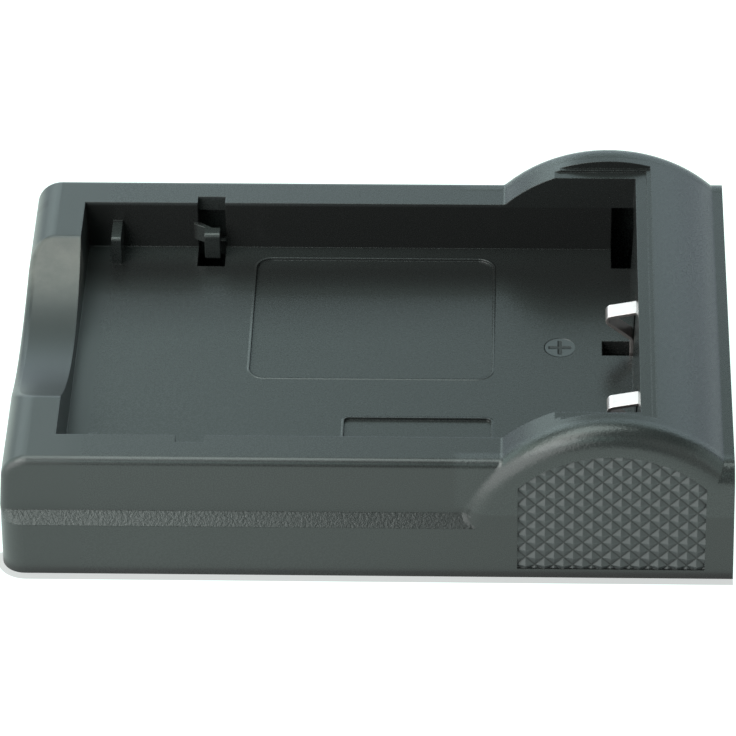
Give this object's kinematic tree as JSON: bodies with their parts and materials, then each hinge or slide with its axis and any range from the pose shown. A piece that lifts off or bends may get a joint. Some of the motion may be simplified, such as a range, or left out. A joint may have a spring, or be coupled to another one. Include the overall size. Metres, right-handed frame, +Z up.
{
  "type": "camera battery charger plate",
  "caption": "Flat moulded battery plate of a camera battery charger, with an open bay, sprung contacts and an arched grip end with knurled pads.",
  "frame": {"origin": "centre of the underside, on the surface that the plate rests on", "axes": "+X along the plate towards the contact end, +Y to the back, +Z up out of the bay"},
  "size_m": [0.0678, 0.0476, 0.0165],
  "materials": {
    "housing_plastic": "satin dark grey moulding",
    "cover_plastic": "matt dark grey moulding",
    "contact_nickel": "polished nickel plate",
    "screw_steel": "zinc-plated steel"
  },
  "bodies": {
    "root": {"upper_housing": "housing_plastic", "bottom_cover": "cover_plastic", "positive_contact": "contact_nickel", "negative_contact": "contact_nickel", "cover_screw_left": "screw_steel", "cover_screw_right": "screw_steel"}
  },
  "joints": []
}
